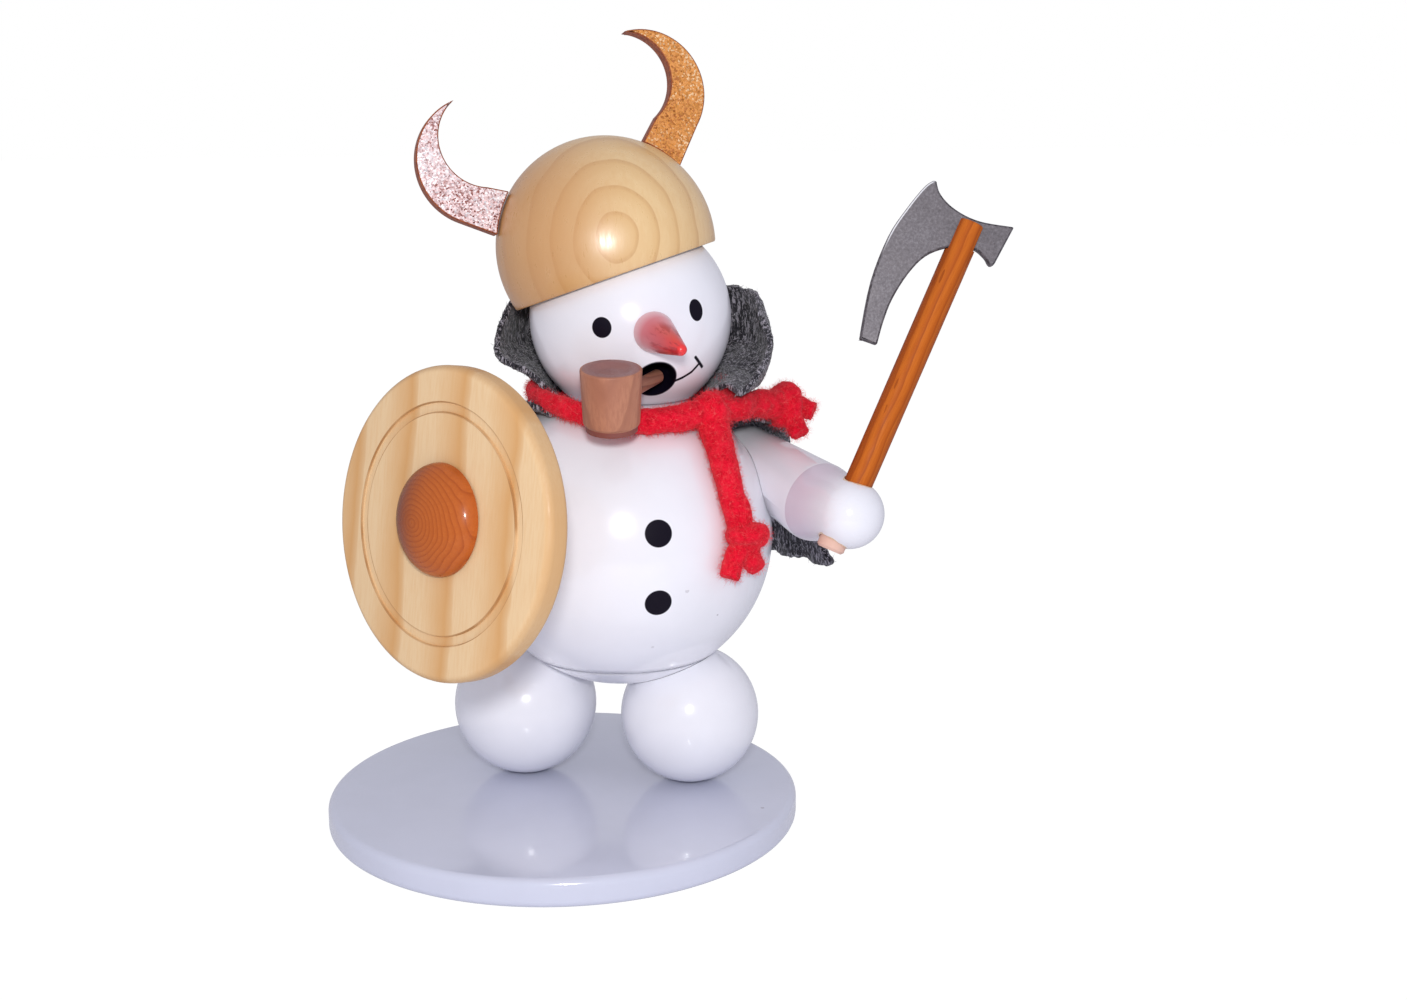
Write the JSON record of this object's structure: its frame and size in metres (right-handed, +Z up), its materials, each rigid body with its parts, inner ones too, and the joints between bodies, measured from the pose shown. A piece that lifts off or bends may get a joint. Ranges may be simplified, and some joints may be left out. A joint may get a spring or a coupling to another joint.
{
  "type": "incense smoker figure",
  "caption": "Turned wooden incense smoker in the shape of a snowman Viking, with helmet, pipe, axe, shield, scarf and cape. The hollow upper body lifts off the lower one.",
  "frame": {"origin": "centre of the base's underside", "axes": "+Z is up, -Y is the way the upper body faces, and +X is the figure's left"},
  "size_m": [0.1153, 0.0958, 0.1365],
  "materials": {
    "white_paint": "gloss white lacquer on turned wood",
    "pink_paint": "pink paint with darker red brush streaks",
    "pale_wood": "clear satin lacquer on pale turned wood with growth rings",
    "pine": "satin pine with broad straight grain",
    "copper_glitter": "thin board coated with copper glitter",
    "mauve_wood": "satin mauve-brown stain",
    "orange_varnish": "gloss orange-brown varnish",
    "silver_paint": "dull silver paint on thin board",
    "red_wool": "fuzzy red wool",
    "grey_felt": "dark grey felt with pale fibres"
  },
  "bodies": {
    "root": {"base": "white_paint", "foot_right": "white_paint", "foot_left": "white_paint", "lower_body": "white_paint", "upper_body": "white_paint", "head": "white_paint", "nose": "pink_paint", "helmet": "pale_wood", "horn_left": "copper_glitter", "horn_right": "copper_glitter", "pipe_bowl": "mauve_wood", "pipe_stem": "mauve_wood", "arm_left": "white_paint", "arm_right": "white_paint", "axe_handle": "orange_varnish", "axe_blade": "silver_paint", "shield": "pine", "shield_boss": "orange_varnish", "scarf": "red_wool", "cape": "grey_felt"}
  },
  "joints": []
}
